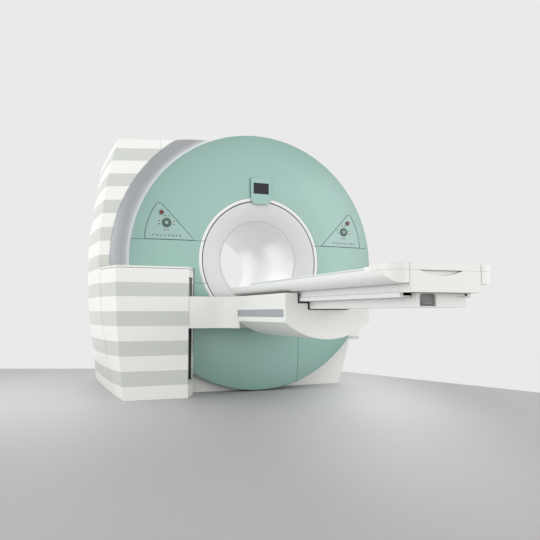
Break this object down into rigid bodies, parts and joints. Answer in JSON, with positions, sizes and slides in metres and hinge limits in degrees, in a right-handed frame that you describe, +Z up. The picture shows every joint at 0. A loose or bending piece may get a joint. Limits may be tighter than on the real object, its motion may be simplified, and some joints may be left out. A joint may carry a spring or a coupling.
{
  "type": "mri scanner",
  "caption": "Magnet scanner with a round front ring, a striped side tower and a cantilevered patient table that rises and slides into the bore.",
  "frame": {"origin": "on the floor, straight below the isocentre of the bore", "axes": "+Z up, +Y along the bore from the patient table towards the rear, +X to the right seen from the table end"},
  "size_m": [2.226, 3.7876, 2.0048],
  "materials": {
    "green_cover": "satin",
    "white_cover": "satin",
    "tunnel_tube": "satin",
    "silver": "metallic satin",
    "inlay": "satin",
    "aluminium_profile": "brushed",
    "board": "satin",
    "pad": "smooth coated",
    "dark_plastic": "matt",
    "key": "matt",
    "red": "gloss",
    "steel": "satin",
    "bronze": "machined",
    "winding": "resin bonded",
    "coil_resin": "cast resin",
    "machine": "satin"
  },
  "bodies": {
    "magnet": {"vacuum_vessel": "steel", "helium_vessel": "steel", "main_coils": "winding", "cold_mass_supports": "coil_resin", "cold_head": "machine", "magnet_base": "steel", "gradient_coil": "coil_resin", "body_coil": "coil_resin", "tunnel_liner": "tunnel_tube", "tunnel_rails": "dark_plastic", "tunnel_floor": "white_cover", "front_funnel": "white_cover", "rear_funnel": "white_cover", "upper_front_cover": "green_cover", "left_front_cover": "green_cover", "lower_front_cover": "green_cover", "right_front_cover": "green_cover", "bore_trim": "white_cover", "cover_bulkhead": "steel", "silver_ring": "silver", "left_side_cover": "white_cover", "top_cover": "white_cover", "right_side_cover": "white_cover", "front_skirt": "white_cover", "rear_cover": "white_cover", "display_shield": "green_cover", "display_screen": "dark_plastic", "control_panels": "green_cover", "direction_pads": "dark_plastic", "panel_keys": "key", "tower_shell": "white_cover", "tower_cap": "white_cover", "lift_column": "steel", "lift_rails": "steel", "lift_screw": "steel", "lift_motor": "machine"},
    "lift": {"lift_carriage": "steel", "lift_nut": "bronze", "arm_beam": "steel", "arm_cover": "white_cover", "inlay_strip": "inlay", "right_side_panel": "white_cover", "carrier_belly": "white_cover", "carrier_end_plate": "white_cover", "upper_table_beam": "aluminium_profile", "lower_table_beam": "aluminium_profile", "table_frame": "aluminium_profile", "end_panel": "white_cover", "beam_end_block": "white_cover", "plug_socket": "dark_plastic", "drive_belt": "dark_plastic", "belt_drive": "machine"},
    "table": {"tabletop": "board", "patient_pad": "pad", "coil_socket_block": "white_cover", "foot_board": "white_cover"},
    "left_stop": {"left_stop_button": "red"},
    "right_stop": {"right_stop_button": "red"},
    "left_centre": {"left_centre_button": "key"},
    "right_centre": {"right_centre_button": "key"}
  },
  "joints": [
    {"name": "table_lift", "type": "slide", "parent": "magnet", "child": "lift", "axis": [0, 0, 1], "range_m": [-0.36, 0]},
    {"name": "tabletop_travel", "type": "slide", "parent": "lift", "child": "table", "axis": [0, 1, 0], "range_m": [0, 1.9]},
    {"name": "left_stop_press", "type": "slide", "parent": "magnet", "child": "left_stop", "axis": [0, 1, 0], "range_m": [0, 0.002], "stiffness_N_per_m": 1500, "springref_m": -0.002},
    {"name": "right_stop_press", "type": "slide", "parent": "magnet", "child": "right_stop", "axis": [0, 1, 0], "range_m": [0, 0.002], "stiffness_N_per_m": 1500, "springref_m": -0.002},
    {"name": "left_centre_press", "type": "slide", "parent": "magnet", "child": "left_centre", "axis": [0, 1, 0], "range_m": [0, 0.002], "stiffness_N_per_m": 1500, "springref_m": -0.002},
    {"name": "right_centre_press", "type": "slide", "parent": "magnet", "child": "right_centre", "axis": [0, 1, 0], "range_m": [0, 0.002], "stiffness_N_per_m": 1500, "springref_m": -0.002}
  ]
}
